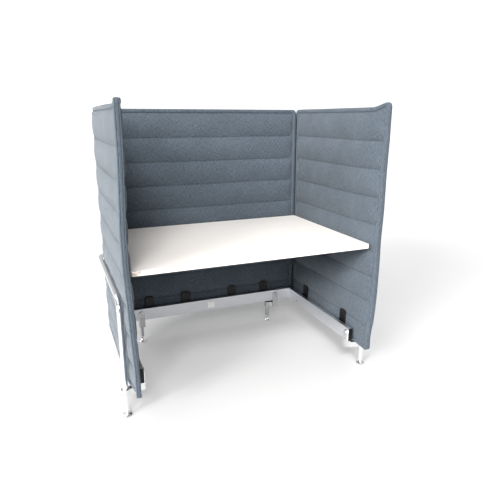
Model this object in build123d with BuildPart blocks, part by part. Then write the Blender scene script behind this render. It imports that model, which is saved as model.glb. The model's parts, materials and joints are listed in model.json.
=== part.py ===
from build123d import *
import math
import os

# Quilted study carrel: three padded panels standing on a U-shaped beam, a desktop between
# them, and a tubular bow round the outside that carries the desktop and stands on the front
# legs.  Millimetres.  +Z is up, +X is to the sitter's right and the open front faces -Y.
# The origin is on the floor under the middle of the overall outline.

# ---- driving dimensions ------------------------------------------------------------------
WIDTH = 1335
DEPTH = 943
PANEL_BOTTOM = 145
PANEL_TOP = 1406
PANEL_THICKNESS = 33
CORE_THICKNESS = 9
CORE_INSET = 30
PANEL_CORNER = 18
PANEL_EDGE = 9
EAR_RUN = 80
EAR_RISE = 18

TABLE_WIDTH = 1210
TABLE_DEPTH = 835
TABLE_THICKNESS = 22
TABLE_TOP = 730
TABLE_CORNER = 12
EDGING = 1.5
EDGING_ROUND = 1

TUBE_DIAMETER = 25
TUBE_WALL = 2
BOW_HEIGHT = 575
BOW_GAP = 1.5
BOW_FRONT_BEND = 65
BOW_REAR_BEND = 60
BOW_JOINT_X = 500
FRONT_LEG_Y = -345
FRONT_LEG_BOTTOM = 28
SLEEVE_LENGTH = 120
SLEEVE_WALL = 2

BEAM_WIDTH = 22
BEAM_HEIGHT = 74
BEAM_TOP = 228
BEAM_WALL = 2.5
BEAM_CORNER = 2
BEAM_HALF_SPAN = 588
BEAM_FRONT = -346
REAR_GAP = 8
CAP_THICKNESS = 3
CAP_PLUG = 6
PLUG_LENGTH = 150

REAR_LEG_X = (-444, 417)
REAR_BRACKET_X = (-444, 459)
REAR_LEG_Y = 413
REAR_LEG_DIAMETER = 24
REAR_LEG_BOTTOM = 40
REAR_LEG_TOP = 134
BRACKET_WIDTH = 37
BRACKET_PLATE = 6
BRACKET_TOP = 214
BRACKET_BOTTOM = 110
ARM_TOP = 140
COLLAR_WALL = 7
CAST_EDGE = 1.5
FRONT_BRACKET_Y = -318

STEM_DIAMETER = 10
STEM_TOP = 75
FOOT_DIAMETER = 44
FOOT_PLATE = 4
GLIDE_THICKNESS = 2
INSERT_LENGTH = 30
INSERT_FLANGE = 3
NUT_FLATS = 17
NUT_HEIGHT = 6

CLIP_WIDTH = 54
CLIP_BOTTOM = 165
CLIP_TOP = 292
CLIP_PLATE = 6
CLIP_CORNER = 14
CLIP_EDGE = 1.5
REAR_CLIP_X = (-385, -158, 158, 385)
SIDE_CLIP_Y = (218, -221)
CLIP_SCREW_Z = 268
CLIP_SCREW_SPACING = 28
CLIP_SCREW_RADIUS = 2

SHELF_ANGLE = 4
SHELF_FLANGE = 54
SHELF_FRONT = -300
SHELF_REAR = 340
SHELF_DROP_FRONT = 10
SHELF_DROP_BOTTOM = 548
BOLT_Y = (70, 290)
BOLT_RADIUS = 4
BOLT_HEAD_RADIUS = 7
SPACER_RADIUS = 7
WOOD_SCREW_Y = (-260, -110, 40, 190, 310)
WOOD_SCREW_RADIUS = 2
WOOD_SCREW_LENGTH = 18

ZIP_BOTTOM = 600
ZIP_TOP = 1385
TAPE_BOTTOM = 160
TAPE_WIDTH = 45
TAPE_THICKNESS = 2
CHAIN_WIDTH = 6
CHAIN_THICKNESS = 3
SLIDER_HEIGHT = 14
SLIDER_TOP = 1378
PULL_LENGTH = 28

SIDES = {"left": -1, "right": 1}

# ---- worked out from the above -----------------------------------------------------------
TUBE_RADIUS = TUBE_DIAMETER / 2
TUBE_BORE = TUBE_RADIUS - TUBE_WALL
BOW_X = WIDTH / 2 - TUBE_RADIUS
BOW_REAR_Y = DEPTH / 2 - TUBE_RADIUS
PANEL_FRONT = -DEPTH / 2
SIDE_OUTER = BOW_X - TUBE_RADIUS - BOW_GAP
SIDE_MIDDLE = SIDE_OUTER - PANEL_THICKNESS / 2
SIDE_INNER = SIDE_OUTER - PANEL_THICKNESS
BACK_OUTER = BOW_REAR_Y - TUBE_RADIUS - BOW_GAP
BACK_MIDDLE = BACK_OUTER - PANEL_THICKNESS / 2
BACK_INNER = BACK_OUTER - PANEL_THICKNESS
SIDE_REAR = BACK_INNER - 2.5
BACK_END = SIDE_INNER - 2
TABLE_REAR = BACK_INNER - REAR_GAP
TABLE_UNDERSIDE = TABLE_TOP - TABLE_THICKNESS
BEAM_REAR = BACK_INNER - REAR_GAP
BEAM_FACE = BEAM_REAR - BEAM_WIDTH
BEAM_BOTTOM = BEAM_TOP - BEAM_HEIGHT
BEAM_INNER = BEAM_HALF_SPAN - BEAM_WIDTH
BEAM_MIDDLE_Z = BEAM_TOP - BEAM_HEIGHT / 2
BEAM_SIDE_MIDDLE = BEAM_HALF_SPAN - BEAM_WIDTH / 2
PAD_WALL = (PANEL_THICKNESS - CORE_THICKNESS) / 2
FRONT_BORE = TUBE_BORE
REAR_BORE = REAR_LEG_DIAMETER / 2 - TUBE_WALL


def keep(piece, name):
    """Label a finished piece and write its STEP file."""
    piece.part.label = name
    export_step(piece.part, f"parts/{name}.step")


def face_plane(x, y, inward):
    """A plane on a panel's inner face: sketch x runs along the face, sketch y is up."""
    along = Vector(0, 0, 1).cross(Vector(*inward))
    return Plane(origin=(x, y, 0), x_dir=along, z_dir=inward)


# ---- panels: padded cover with foam, closed round a stiff core board ------------------------
def side_panel(side, sign):
    """One side panel, with the raised ear at its top front corner."""
    inner = face_plane(sign * SIDE_INNER, 0, (-sign, 0, 0))
    ear_tip = (PANEL_FRONT + PANEL_CORNER, PANEL_TOP + EAR_RISE)
    with BuildPart() as pad:
        with BuildSketch(Plane.YZ.offset(sign * SIDE_MIDDLE)):
            with BuildLine():
                top = Line((SIDE_REAR, PANEL_TOP), (PANEL_FRONT + EAR_RUN, PANEL_TOP))
                ear = TangentArc(top @ 1, ear_tip, tangent=(-1, 0))
                nose = RadiusArc(ear @ 1, (PANEL_FRONT, PANEL_TOP + EAR_RISE - 16), -PANEL_CORNER)
                Polyline(
                    nose @ 1,
                    (PANEL_FRONT, PANEL_BOTTOM),
                    (SIDE_REAR, PANEL_BOTTOM),
                    top @ 0,
                )
            make_face()
        extrude(amount=PANEL_THICKNESS / 2, both=True)
        uprights = pad.edges().filter_by(Axis.X)
        lower_and_rear = uprights.sort_by(Axis.Z)[:2] + uprights.sort_by(Axis.Y)[-1:]
        fillet(ShapeList(set(lower_and_rear)), radius=PANEL_CORNER)
        fillet(pad.faces().filter_by(Axis.X).edges(), radius=PANEL_EDGE)
        with BuildSketch(Plane.YZ.offset(sign * SIDE_MIDDLE)):
            with Locations(((PANEL_FRONT + SIDE_REAR) / 2, (PANEL_BOTTOM + PANEL_TOP) / 2)):
                Rectangle(
                    SIDE_REAR - PANEL_FRONT - 2 * CORE_INSET,
                    PANEL_TOP - PANEL_BOTTOM - 2 * CORE_INSET,
                )
        extrude(amount=CORE_THICKNESS / 2, both=True, mode=Mode.SUBTRACT)
        with BuildSketch(Plane.YZ.offset(sign * SIDE_MIDDLE)):
            with Locations([(y, BOW_HEIGHT) for y in BOLT_Y]):
                Circle(SPACER_RADIUS + 0.1)
        extrude(amount=PANEL_THICKNESS, both=True, mode=Mode.SUBTRACT)
        with BuildSketch(inner):
            for y in SIDE_CLIP_Y:
                with Locations((-sign * y, CLIP_SCREW_Z)):
                    with GridLocations(CLIP_SCREW_SPACING, 1, 2, 1):
                        Circle(CLIP_SCREW_RADIUS + 0.1)
        extrude(amount=-PAD_WALL - 1, mode=Mode.SUBTRACT)
    keep(pad, f"{side}_panel")
    with BuildPart() as core:
        with BuildSketch(Plane.YZ.offset(sign * SIDE_MIDDLE)):
            with Locations(((PANEL_FRONT + SIDE_REAR) / 2, (PANEL_BOTTOM + PANEL_TOP) / 2)):
                Rectangle(
                    SIDE_REAR - PANEL_FRONT - 2 * CORE_INSET,
                    PANEL_TOP - PANEL_BOTTOM - 2 * CORE_INSET,
                )
            with Locations([(y, BOW_HEIGHT) for y in BOLT_Y]):
                Circle(SPACER_RADIUS + 0.1, mode=Mode.SUBTRACT)
            for y in SIDE_CLIP_Y:
                with Locations((y, CLIP_SCREW_Z)):
                    with GridLocations(CLIP_SCREW_SPACING, 1, 2, 1):
                        Circle(CLIP_SCREW_RADIUS + 0.1, mode=Mode.SUBTRACT)
        extrude(amount=CORE_THICKNESS / 2, both=True)
    keep(core, f"{side}_panel_core")


def back_panel():
    """The back panel between the two side panels."""
    height = PANEL_TOP - PANEL_BOTTOM
    middle = (PANEL_TOP + PANEL_BOTTOM) / 2
    with BuildPart() as pad:
        with BuildSketch(Plane.XZ.offset(-BACK_MIDDLE)):
            with Locations((0, middle)):
                RectangleRounded(2 * BACK_END, height, PANEL_CORNER)
        extrude(amount=PANEL_THICKNESS / 2, both=True)
        fillet(pad.faces().filter_by(Axis.Y).edges(), radius=PANEL_EDGE)
        with BuildSketch(Plane.XZ.offset(-BACK_MIDDLE)):
            with Locations((0, middle)):
                Rectangle(2 * (BACK_END - CORE_INSET), height - 2 * CORE_INSET)
        extrude(amount=CORE_THICKNESS / 2, both=True, mode=Mode.SUBTRACT)
        with BuildSketch(Plane.XZ.offset(-BACK_INNER)):
            for x in REAR_CLIP_X:
                with Locations((x, CLIP_SCREW_Z)):
                    with GridLocations(CLIP_SCREW_SPACING, 1, 2, 1):
                        Circle(CLIP_SCREW_RADIUS + 0.1)
        extrude(amount=-PAD_WALL - 1, mode=Mode.SUBTRACT)
    keep(pad, "back_panel")
    with BuildPart() as core:
        with BuildSketch(Plane.XZ.offset(-BACK_MIDDLE)):
            with Locations((0, middle)):
                Rectangle(2 * (BACK_END - CORE_INSET), height - 2 * CORE_INSET)
            for x in REAR_CLIP_X:
                with Locations((x, CLIP_SCREW_Z)):
                    with GridLocations(CLIP_SCREW_SPACING, 1, 2, 1):
                        Circle(CLIP_SCREW_RADIUS + 0.1, mode=Mode.SUBTRACT)
        extrude(amount=CORE_THICKNESS / 2, both=True)
    keep(core, "back_panel_core")


# ---- desktop -------------------------------------------------------------------------------
def desktop():
    """The board and the thin strip glued round its edge."""
    middle = Plane((0, TABLE_REAR - TABLE_DEPTH / 2, TABLE_UNDERSIDE))
    screw_x = TABLE_WIDTH / 2 - SHELF_FLANGE / 2
    with BuildPart() as board:
        with BuildSketch(middle):
            RectangleRounded(
                TABLE_WIDTH - 2 * EDGING, TABLE_DEPTH - 2 * EDGING, TABLE_CORNER - EDGING
            )
        extrude(amount=TABLE_THICKNESS)
        with BuildSketch(Plane.XY.offset(TABLE_UNDERSIDE)):
            with Locations([(x, y) for x in (-screw_x, screw_x) for y in WOOD_SCREW_Y]):
                Circle(WOOD_SCREW_RADIUS + 0.05)
        extrude(amount=WOOD_SCREW_LENGTH - SHELF_ANGLE, mode=Mode.SUBTRACT)
    keep(board, "tabletop")
    with BuildPart() as edging:
        with BuildSketch(middle):
            RectangleRounded(TABLE_WIDTH, TABLE_DEPTH, TABLE_CORNER)
        extrude(amount=TABLE_THICKNESS)
        fillet(edging.faces().filter_by(Axis.Z).edges(), radius=EDGING_ROUND)
        with BuildSketch(middle):
            RectangleRounded(
                TABLE_WIDTH - 2 * EDGING, TABLE_DEPTH - 2 * EDGING, TABLE_CORNER - EDGING
            )
        extrude(amount=TABLE_THICKNESS, mode=Mode.SUBTRACT)
    keep(edging, "tabletop_edging")


def shelf_angle(side, sign):
    """The angle under the desktop: bolted through the panel to the bow, screwed upwards."""
    flange_middle = sign * (SIDE_INNER - SHELF_FLANGE / 2)
    screw_x = sign * (TABLE_WIDTH / 2 - SHELF_FLANGE / 2)
    with BuildPart() as angle:
        with BuildSketch(Plane.XY.offset(TABLE_UNDERSIDE - SHELF_ANGLE)):
            with Locations((flange_middle, (SHELF_FRONT + SHELF_REAR) / 2)):
                Rectangle(SHELF_FLANGE, SHELF_REAR - SHELF_FRONT)
            with Locations([(screw_x, y) for y in WOOD_SCREW_Y]):
                Circle(WOOD_SCREW_RADIUS + 0.2, mode=Mode.SUBTRACT)
        extrude(amount=SHELF_ANGLE)
        with BuildSketch(Plane.YZ.offset(sign * (SIDE_INNER - SHELF_ANGLE))):
            with BuildLine():
                Polyline(
                    (SHELF_FRONT, TABLE_UNDERSIDE - SHELF_ANGLE),
                    (SHELF_FRONT, TABLE_UNDERSIDE - 4 * SHELF_ANGLE),
                    (SHELF_DROP_FRONT, SHELF_DROP_BOTTOM),
                    (SHELF_REAR, SHELF_DROP_BOTTOM),
                    (SHELF_REAR, TABLE_UNDERSIDE - SHELF_ANGLE),
                    close=True,
                )
            make_face()
            with Locations([(y, BOW_HEIGHT) for y in BOLT_Y]):
                Circle(BOLT_RADIUS + 0.2, mode=Mode.SUBTRACT)
        extrude(amount=sign * SHELF_ANGLE)
    keep(angle, f"{side}_table_bracket")


def table_fixings():
    """Through bolts, the spacer sleeves round them, and the screws up into the desktop."""
    head_x = SIDE_INNER - SHELF_ANGLE
    with BuildPart() as bolts:
        for sign in SIDES.values():
            with BuildSketch(Plane.YZ.offset(sign * head_x)):
                with Locations([(y, BOW_HEIGHT) for y in BOLT_Y]):
                    Circle(BOLT_HEAD_RADIUS)
            extrude(amount=-sign * BOLT_RADIUS)
            with BuildSketch(Plane.YZ.offset(sign * head_x)):
                with Locations([(y, BOW_HEIGHT) for y in BOLT_Y]):
                    Circle(BOLT_RADIUS)
            extrude(amount=sign * (BOW_X - head_x - BOLT_RADIUS))
    keep(bolts, "panel_bolts")
    with BuildPart() as spacers:
        for sign in SIDES.values():
            with BuildSketch(Plane.YZ.offset(sign * SIDE_INNER)):
                with Locations([(y, BOW_HEIGHT) for y in BOLT_Y]):
                    Circle(SPACER_RADIUS)
                    Circle(BOLT_RADIUS + 0.2, mode=Mode.SUBTRACT)
            extrude(amount=sign * (PANEL_THICKNESS + BOW_GAP))
    keep(spacers, "bolt_spacers")
    screw_x = TABLE_WIDTH / 2 - SHELF_FLANGE / 2
    places = [(x, y) for x in (-screw_x, screw_x) for y in WOOD_SCREW_Y]
    with BuildPart() as screws:
        with BuildSketch(Plane.XY.offset(TABLE_UNDERSIDE - SHELF_ANGLE)):
            with Locations(places):
                Circle(2 * WOOD_SCREW_RADIUS)
        extrude(amount=-WOOD_SCREW_RADIUS)
        with BuildSketch(Plane.XY.offset(TABLE_UNDERSIDE - SHELF_ANGLE)):
            with Locations(places):
                Circle(WOOD_SCREW_RADIUS)
        extrude(amount=WOOD_SCREW_LENGTH - 0.5)
    keep(screws, "table_screws")


# ---- U-shaped beam -------------------------------------------------------------------------
def hollow_rectangle(width, height):
    """The beam's extruded section."""
    RectangleRounded(width, height, BEAM_CORNER)
    Rectangle(width - 2 * BEAM_WALL, height - 2 * BEAM_WALL, mode=Mode.SUBTRACT)


def rear_beam():
    """The beam along the back, drilled for the corner bolts and the bracket screws."""
    with BuildPart() as beam:
        with BuildSketch(Plane.YZ.offset(-BEAM_HALF_SPAN)):
            with Locations((BEAM_REAR - BEAM_WIDTH / 2, BEAM_MIDDLE_Z)):
                hollow_rectangle(BEAM_WIDTH, BEAM_HEIGHT)
        extrude(amount=2 * BEAM_HALF_SPAN)
        with BuildSketch(Plane.XZ.offset(-BEAM_REAR)):
            for sign in SIDES.values():
                with Locations((sign * BEAM_SIDE_MIDDLE, BEAM_MIDDLE_Z)):
                    with GridLocations(1, 40, 1, 2):
                        Circle(4.2)
        extrude(amount=BEAM_WIDTH, mode=Mode.SUBTRACT)
        with BuildSketch(Plane.XZ.offset(-BEAM_FACE)):
            with Locations([(x, z) for x in REAR_BRACKET_X for z in (172, 198)]):
                Circle(3.1)
        extrude(amount=-BEAM_WALL - 1, mode=Mode.SUBTRACT)
    keep(beam, "rear_beam")
    with BuildPart() as caps:
        for sign in SIDES.values():
            with BuildSketch(Plane.YZ.offset(sign * BEAM_HALF_SPAN)):
                with Locations((BEAM_REAR - BEAM_WIDTH / 2, BEAM_MIDDLE_Z)):
                    RectangleRounded(BEAM_WIDTH, BEAM_HEIGHT, BEAM_CORNER)
            extrude(amount=sign * CAP_THICKNESS)
            with BuildSketch(Plane.YZ.offset(sign * BEAM_HALF_SPAN)):
                with Locations((BEAM_REAR - BEAM_WIDTH / 2, BEAM_MIDDLE_Z)):
                    Rectangle(BEAM_WIDTH - 2 * BEAM_WALL, BEAM_HEIGHT - 2 * BEAM_WALL)
            extrude(amount=-sign * CAP_PLUG)
    keep(caps, "rear_beam_end_caps")


def side_beam(side, sign):
    """A side beam, its front cap, and the plug that joins it to the rear beam."""
    middle = (sign * BEAM_SIDE_MIDDLE, BEAM_MIDDLE_Z)
    with BuildPart() as beam:
        with BuildSketch(Plane.XZ.offset(-BEAM_FRONT)):
            with Locations(middle):
                hollow_rectangle(BEAM_WIDTH, BEAM_HEIGHT)
        extrude(amount=-(BEAM_FACE - BEAM_FRONT))
        with BuildSketch(Plane.YZ.offset(sign * BEAM_INNER)):
            with Locations((260, 176)):
                Circle(3.1)
            with Locations([(FRONT_BRACKET_Y, z) for z in (172, 198)]):
                Circle(3.1)
        extrude(amount=sign * (BEAM_WALL + 1), mode=Mode.SUBTRACT)
    keep(beam, f"{side}_beam")
    with BuildPart() as cap:
        with BuildSketch(Plane.XZ.offset(-BEAM_FRONT)):
            with Locations(middle):
                RectangleRounded(BEAM_WIDTH, BEAM_HEIGHT, BEAM_CORNER)
        extrude(amount=CAP_THICKNESS)
        fillet(cap.faces().sort_by(Axis.Y)[0].edges(), radius=1)
        with BuildSketch(Plane.XZ.offset(-BEAM_FRONT)):
            with Locations(middle):
                Rectangle(BEAM_WIDTH - 2 * BEAM_WALL, BEAM_HEIGHT - 2 * BEAM_WALL)
        extrude(amount=-CAP_PLUG)
    keep(cap, f"{side}_beam_end_cap")
    with BuildPart() as plug:
        with BuildSketch(Plane.XZ.offset(-BEAM_FACE)):
            with Locations(middle):
                Rectangle(BEAM_WIDTH - 2 * BEAM_WALL - 0.2, BEAM_HEIGHT - 2 * BEAM_WALL - 0.2)
                with GridLocations(1, 40, 1, 2):
                    Circle(4.2, mode=Mode.SUBTRACT)
        extrude(amount=PLUG_LENGTH)
        with BuildSketch(Plane.YZ.offset(sign * BEAM_SIDE_MIDDLE)):
            with Locations((260, 176)):
                Circle(3.1)
        extrude(amount=-sign * BEAM_WIDTH, mode=Mode.SUBTRACT)
    keep(plug, f"{side}_corner_plug")


def beam_fixings():
    """Corner bolts, set screws in the side beams and the bow, and the bracket screws."""
    corners = [
        (sign * BEAM_SIDE_MIDDLE, BEAM_MIDDLE_Z + rise)
        for sign in SIDES.values()
        for rise in (-20, 20)
    ]
    with BuildPart() as bolts:
        with BuildSketch(Plane.XZ.offset(-BEAM_REAR)):
            with Locations(corners):
                Circle(BOLT_HEAD_RADIUS)
        extrude(amount=-BOLT_RADIUS)
        with BuildSketch(Plane.XZ.offset(-BEAM_REAR)):
            with Locations(corners):
                Circle(BOLT_RADIUS)
        extrude(amount=BEAM_WIDTH + 40)
    keep(bolts, "corner_bolts")
    with BuildPart() as set_screws:
        for sign in SIDES.values():
            with BuildSketch(Plane.YZ.offset(sign * (BEAM_INNER - 1.5))):
                with Locations((260, 176)):
                    Circle(5)
            extrude(amount=sign * 1.5)
            with BuildSketch(Plane.YZ.offset(sign * BEAM_INNER)):
                with Locations((260, 176)):
                    Circle(3)
            extrude(amount=sign * 8)
            with BuildSketch(Plane.XY.offset(BOW_HEIGHT - TUBE_RADIUS - 0.5)):
                with Locations([(sign * (BOW_JOINT_X + d), BOW_REAR_Y) for d in (-30, 30)]):
                    Circle(2.9)
            extrude(amount=TUBE_WALL + SLEEVE_WALL)
    keep(set_screws, "set_screws")
    with BuildPart() as bracket_screws:
        rear = [(x, z) for x in REAR_BRACKET_X for z in (172, 198)]
        with BuildSketch(Plane.XZ.offset(-(BEAM_FACE - BRACKET_PLATE))):
            with Locations(rear):
                Circle(5)
        extrude(amount=3)
        with BuildSketch(Plane.XZ.offset(-(BEAM_FACE - BRACKET_PLATE))):
            with Locations(rear):
                Circle(3)
        extrude(amount=-BRACKET_PLATE - BEAM_WALL - 2)
        for sign in SIDES.values():
            front = [(FRONT_BRACKET_Y, z) for z in (172, 198)]
            with BuildSketch(Plane.YZ.offset(sign * (BEAM_INNER - BRACKET_PLATE))):
                with Locations(front):
                    Circle(5)
            extrude(amount=-sign * 3)
            with BuildSketch(Plane.YZ.offset(sign * (BEAM_INNER - BRACKET_PLATE))):
                with Locations(front):
                    Circle(3)
            extrude(amount=sign * (BRACKET_PLATE + BEAM_WALL + 2))
    keep(bracket_screws, "bracket_screws")


def blank_plate():
    """The small blank plate on the rear beam's front."""
    with BuildPart() as plate:
        with BuildSketch(Plane.XZ.offset(-BEAM_FACE)):
            with Locations((3, BEAM_MIDDLE_Z)):
                RectangleRounded(46, 40, 3)
        extrude(amount=1)
    keep(plate, "blank_plate")


# ---- cast brackets that hold the legs to the beam ---------------------------------------------
def bracket_plate_sketch():
    """The round-topped plate, drawn about its lower middle point."""
    straight = BRACKET_TOP - BRACKET_WIDTH / 2 - BRACKET_BOTTOM
    with Locations((0, straight / 2)):
        Rectangle(BRACKET_WIDTH, straight)
    with Locations((0, straight)):
        Circle(BRACKET_WIDTH / 2)
    with Locations([(0, z - BRACKET_BOTTOM) for z in (172, 198)]):
        Circle(3.1, mode=Mode.SUBTRACT)


def arm_sketch(start, end, radius):
    """A round-ended arm from start to end, seen from above."""
    run = Vector(*end) - Vector(*start)
    with Locations(((start[0] + end[0]) / 2, (start[1] + end[1]) / 2)):
        SlotCenterToCenter(run.length, 2 * radius, rotation=math.degrees(math.atan2(run.Y, run.X)))


def cast_bracket(name, plate_plane, block_centre, block_size, leg, leg_radius, through):
    """Plate on the beam's inner face, block under the beam, arm and socket for a leg."""
    socket = leg_radius + COLLAR_WALL
    with BuildPart() as casting:
        with BuildSketch(plate_plane):
            bracket_plate_sketch()
        extrude(amount=BRACKET_PLATE)
        with BuildSketch(Plane.XY.offset(BRACKET_BOTTOM)):
            with Locations(block_centre):
                Rectangle(*block_size)
        extrude(amount=BEAM_BOTTOM - BRACKET_BOTTOM)
        with BuildSketch(Plane.XY.offset(BRACKET_BOTTOM)):
            arm_sketch(block_centre, leg, socket - 6)
            with Locations(leg):
                Circle(socket)
        extrude(amount=ARM_TOP - BRACKET_BOTTOM)
        with BuildSketch(Plane.XY.offset(BRACKET_BOTTOM)):
            with Locations(leg):
                Circle(leg_radius + 0.1)
        depth = ARM_TOP - BRACKET_BOTTOM if through else REAR_LEG_TOP - BRACKET_BOTTOM
        extrude(amount=depth, mode=Mode.SUBTRACT)
        outwards = Axis(plate_plane.origin, plate_plane.z_dir)
        front = casting.faces().sort_by(outwards)[-1].outer_wire().edges()
        base = casting.faces().sort_by(Axis.Z)[0].outer_wire().edges()
        fillet(ShapeList(set(front + base)), radius=CAST_EDGE)
    keep(casting, name)


def cast_brackets():
    """Two brackets on the rear beam and one at the front of each side beam."""
    for side, plate_x, leg_x in zip(SIDES, REAR_BRACKET_X, REAR_LEG_X):
        cast_bracket(
            f"rear_{side}_bracket",
            Plane((plate_x, BEAM_FACE, BRACKET_BOTTOM), x_dir=(1, 0, 0), z_dir=(0, -1, 0)),
            (plate_x, (BEAM_FACE - BRACKET_PLATE + BEAM_REAR) / 2),
            (BRACKET_WIDTH, BEAM_WIDTH + BRACKET_PLATE),
            (leg_x, REAR_LEG_Y),
            REAR_LEG_DIAMETER / 2,
            False,
        )
    for side, sign in SIDES.items():
        cast_bracket(
            f"front_{side}_bracket",
            Plane(
                (sign * BEAM_INNER, FRONT_BRACKET_Y, BRACKET_BOTTOM),
                x_dir=(0, -sign, 0),
                z_dir=(-sign, 0, 0),
            ),
            (sign * (BEAM_SIDE_MIDDLE - BRACKET_PLATE / 2), FRONT_BRACKET_Y),
            (BEAM_WIDTH + BRACKET_PLATE, BRACKET_WIDTH),
            (sign * BOW_X, FRONT_LEG_Y),
            TUBE_RADIUS,
            True,
        )


# ---- outer bow and rear legs --------------------------------------------------------------------
def bow():
    """Two bent side tubes, a straight rear tube, and the sleeves that join them."""
    for side, sign in SIDES.items():
        with BuildPart() as tube:
            with BuildLine() as route:
                FilletPolyline(
                    (sign * BOW_X, FRONT_LEG_Y, FRONT_LEG_BOTTOM),
                    (sign * BOW_X, FRONT_LEG_Y, BOW_HEIGHT),
                    (sign * BOW_X, BOW_REAR_Y, BOW_HEIGHT),
                    (sign * BOW_JOINT_X, BOW_REAR_Y, BOW_HEIGHT),
                    radius=(BOW_FRONT_BEND, BOW_REAR_BEND),
                )
            with BuildSketch(Plane((sign * BOW_X, FRONT_LEG_Y, FRONT_LEG_BOTTOM))):
                Circle(TUBE_RADIUS)
                Circle(TUBE_BORE, mode=Mode.SUBTRACT)
            sweep(path=route.wire())
            with BuildSketch(Plane.YZ.offset(sign * (BOW_X - TUBE_RADIUS - 1))):
                with Locations([(y, BOW_HEIGHT) for y in BOLT_Y]):
                    Circle(BOLT_RADIUS + 0.1)
            extrude(amount=sign * (TUBE_RADIUS - 2), mode=Mode.SUBTRACT)
            with BuildSketch(Plane.XY.offset(BOW_HEIGHT - TUBE_RADIUS - 1)):
                with Locations((sign * (BOW_JOINT_X + 30), BOW_REAR_Y)):
                    Circle(3)
            extrude(amount=TUBE_WALL + 3, mode=Mode.SUBTRACT)
        keep(tube, f"{side}_bow_tube")
    joints = [sign * BOW_JOINT_X for sign in SIDES.values()]
    with BuildPart() as rear_tube:
        with BuildSketch(Plane.YZ.offset(-BOW_JOINT_X)):
            with Locations((BOW_REAR_Y, BOW_HEIGHT)):
                Circle(TUBE_RADIUS)
                Circle(TUBE_BORE, mode=Mode.SUBTRACT)
        extrude(amount=2 * BOW_JOINT_X)
        with BuildSketch(Plane.XY.offset(BOW_HEIGHT - TUBE_RADIUS - 1)):
            with Locations([(x - math.copysign(30, x), BOW_REAR_Y) for x in joints]):
                Circle(3)
        extrude(amount=TUBE_WALL + 3, mode=Mode.SUBTRACT)
    keep(rear_tube, "rear_bow_tube")
    with BuildPart() as sleeves:
        for x in joints:
            with BuildSketch(Plane.YZ.offset(x - SLEEVE_LENGTH / 2)):
                with Locations((BOW_REAR_Y, BOW_HEIGHT)):
                    Circle(TUBE_BORE - 0.05)
                    Circle(TUBE_BORE - SLEEVE_WALL, mode=Mode.SUBTRACT)
            extrude(amount=SLEEVE_LENGTH)
        with BuildSketch(Plane.XY.offset(BOW_HEIGHT - TUBE_RADIUS - 1)):
            with Locations([(x + d, BOW_REAR_Y) for x in joints for d in (-30, 30)]):
                Circle(3)
        extrude(amount=TUBE_WALL + SLEEVE_WALL + 3, mode=Mode.SUBTRACT)
    keep(sleeves, "bow_sleeves")


def rear_legs():
    """The two short posts under the rear beam."""
    for side, x in zip(SIDES, REAR_LEG_X):
        with BuildPart() as leg:
            with BuildSketch(Plane.XY.offset(REAR_LEG_BOTTOM)):
                with Locations((x, REAR_LEG_Y)):
                    Circle(REAR_LEG_DIAMETER / 2)
                    Circle(REAR_BORE, mode=Mode.SUBTRACT)
            extrude(amount=REAR_LEG_TOP - REAR_LEG_BOTTOM)
        keep(leg, f"rear_{side}_leg")


# ---- levelling feet -------------------------------------------------------------------------
# name, place, tube end height, tube outer radius and tube bore of each leg
LEGS = [
    ("front_left", -BOW_X, FRONT_LEG_Y, FRONT_LEG_BOTTOM, TUBE_RADIUS, FRONT_BORE),
    ("front_right", BOW_X, FRONT_LEG_Y, FRONT_LEG_BOTTOM, TUBE_RADIUS, FRONT_BORE),
    ("rear_left", REAR_LEG_X[0], REAR_LEG_Y, REAR_LEG_BOTTOM, REAR_LEG_DIAMETER / 2, REAR_BORE),
    ("rear_right", REAR_LEG_X[1], REAR_LEG_Y, REAR_LEG_BOTTOM, REAR_LEG_DIAMETER / 2, REAR_BORE),
]


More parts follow.
